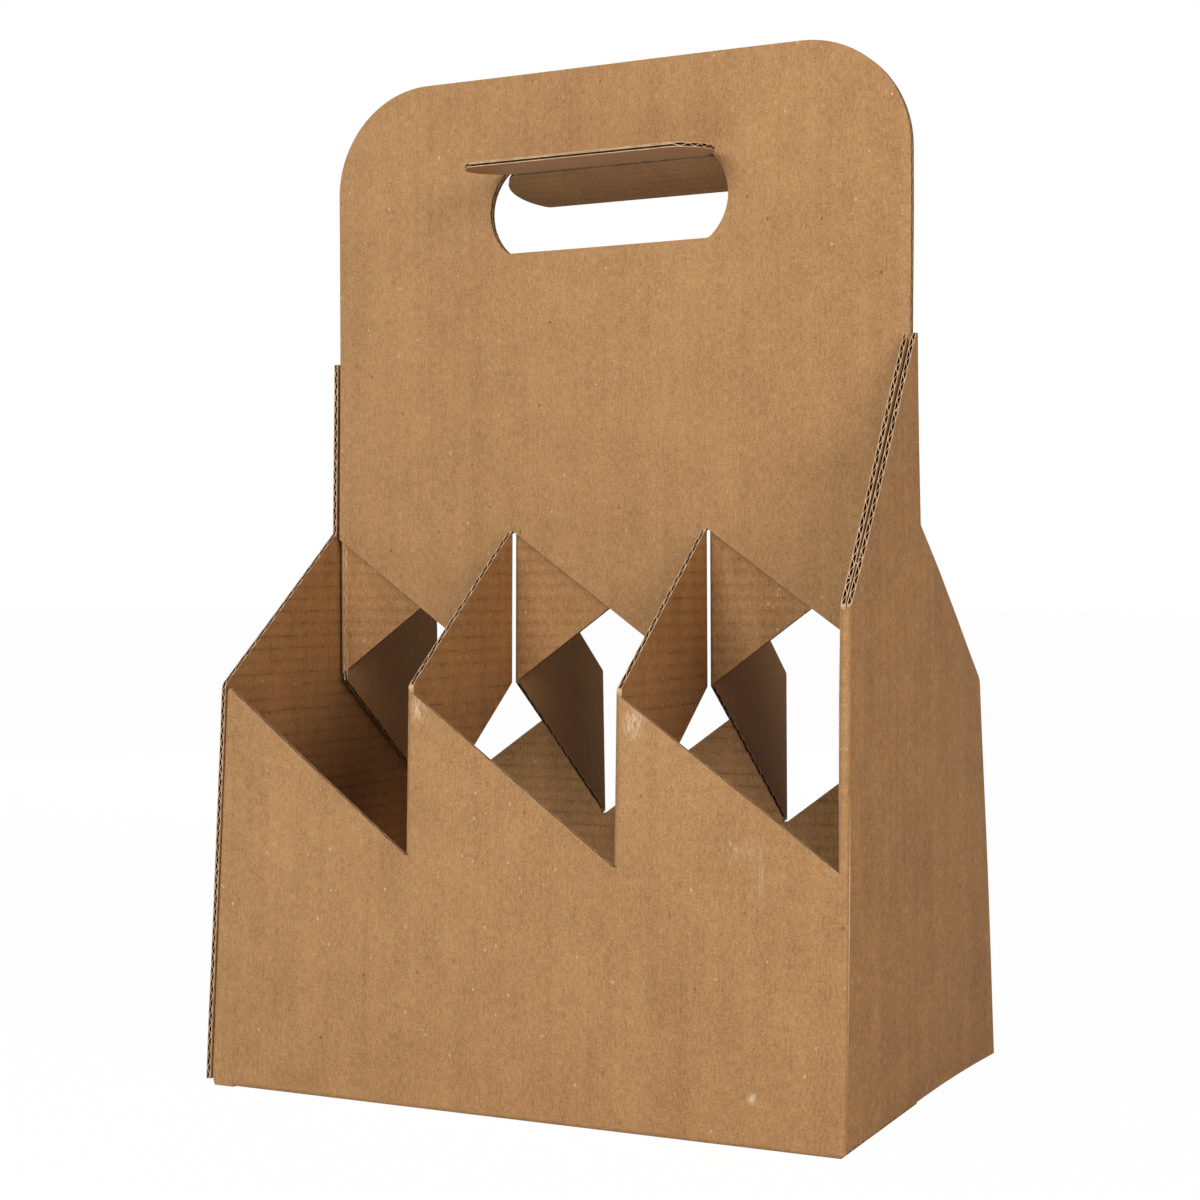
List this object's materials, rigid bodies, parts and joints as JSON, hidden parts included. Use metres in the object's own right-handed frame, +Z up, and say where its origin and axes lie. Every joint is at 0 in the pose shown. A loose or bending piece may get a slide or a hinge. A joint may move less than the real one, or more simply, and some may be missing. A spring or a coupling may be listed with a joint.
{
  "type": "bottle carrier box",
  "caption": "Open bottle carrier folded from corrugated board, with a tall handle wall, a hand hole with creased tongues, and sawtooth-cut dividers that form the cells.",
  "frame": {"origin": "middle of the base, on the surface it stands on", "axes": "+Z up to the handle, +X along the length of the handle wall, the front with the teeth falling to the right faces -Y"},
  "size_m": [0.225, 0.152, 0.35],
  "materials": {
    "kraft_board": "uncoated brown kraft, single-wall corrugated, open flutes on cut edges"
  },
  "bodies": {
    "carrier": {"front_blank": "kraft_board", "rear_blank": "kraft_board"},
    "front_tongue": {"front_hand_flap": "kraft_board"},
    "rear_tongue": {"rear_hand_flap": "kraft_board"}
  },
  "joints": [
    {"name": "front_tongue_crease", "type": "hinge", "parent": "carrier", "child": "front_tongue", "pos_m": [0, -0.0016, 0.3165], "axis": [-1, 0, 0], "range_deg": [-85, 75]},
    {"name": "rear_tongue_crease", "type": "hinge", "parent": "carrier", "child": "rear_tongue", "pos_m": [0, 0.0016, 0.3165], "axis": [1, 0, 0], "range_deg": [-75, 85]}
  ]
}
